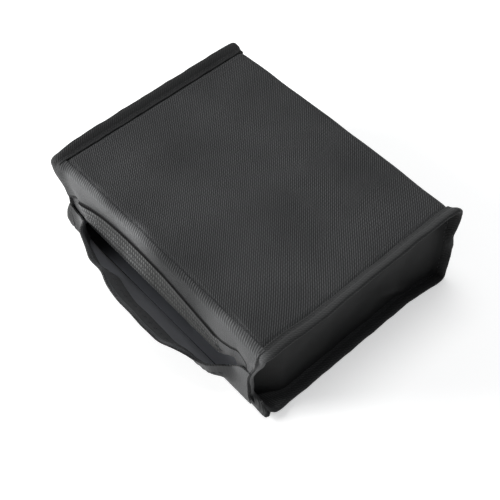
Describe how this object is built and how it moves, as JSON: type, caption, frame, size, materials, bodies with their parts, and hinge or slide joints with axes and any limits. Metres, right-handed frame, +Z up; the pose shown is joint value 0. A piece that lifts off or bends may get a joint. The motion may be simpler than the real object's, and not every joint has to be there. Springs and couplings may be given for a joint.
{
  "type": "lipo safe bag",
  "caption": "Flat box-shaped fabric pouch for batteries, with a fire barrier, bound end seams and a wide mouth whose two lips shut with hook and loop tape.",
  "frame": {"origin": "middle of the bottom face, on the surface that the bag lies on", "axes": "+X along the bag's length and its mouth, -Y out of the mouth, +Y to the back fold, +Z up"},
  "size_m": [0.217, 0.1909, 0.0742],
  "materials": {
    "woven_black": "coarse woven coated glass-fibre cloth, charcoal black, matte with a faint sheen",
    "woven_black_plain": "fine plain-woven fabric, near black, soft sheen",
    "glass_fibre": "undyed glass-fibre cloth, matte",
    "smooth_lining": "smooth coated lining, dark blue-grey, semi-matte",
    "binding_tape": "folded fine-woven binding tape, black, matte",
    "hook_tape": "hook tape with rows of fine hooks, black",
    "loop_tape": "brushed loop tape, black, very matte",
    "thread": "black polyester sewing thread, slight sheen"
  },
  "bodies": {
    "bag": {"wrap_outer": "woven_black", "wrap_barrier": "glass_fibre", "wrap_lining": "smooth_lining", "gusset_outer_right": "woven_black_plain", "gusset_barrier_right": "glass_fibre", "gusset_lining_right": "smooth_lining", "gusset_outer_left": "woven_black_plain", "gusset_barrier_left": "glass_fibre", "gusset_lining_left": "smooth_lining", "binding_right": "binding_tape", "binding_stitching_right": "thread", "binding_left": "binding_tape", "binding_stitching_left": "thread", "top_edge_stitching": "thread", "upper_lip_end_right": "woven_black", "upper_lip_end_lining_right": "smooth_lining", "upper_lip_end_left": "woven_black", "upper_lip_end_lining_left": "smooth_lining", "lower_lip_end_right": "woven_black", "lower_lip_end_lining_right": "smooth_lining", "lower_lip_end_left": "woven_black", "lower_lip_end_lining_left": "smooth_lining"},
    "upper_lip": {"upper_lip_outer": "woven_black", "upper_lip_lining": "smooth_lining", "hook_tape": "hook_tape", "hook_tape_stitching": "thread"},
    "lower_lip": {"lower_lip_outer": "woven_black", "lower_lip_lining": "smooth_lining", "loop_tape": "loop_tape", "loop_tape_stitching": "thread"}
  },
  "joints": [
    {"name": "lower_lip_fold", "type": "hinge", "parent": "bag", "child": "lower_lip", "pos_m": [0, -0.0805, 0.0025], "axis": [1, 0, 0], "range_deg": [-34, 34]},
    {"name": "upper_lip_fold", "type": "hinge", "parent": "bag", "child": "upper_lip", "pos_m": [0, -0.0766, 0.0715], "axis": [-1, 0, 0], "range_deg": [-45, 0]}
  ]
}
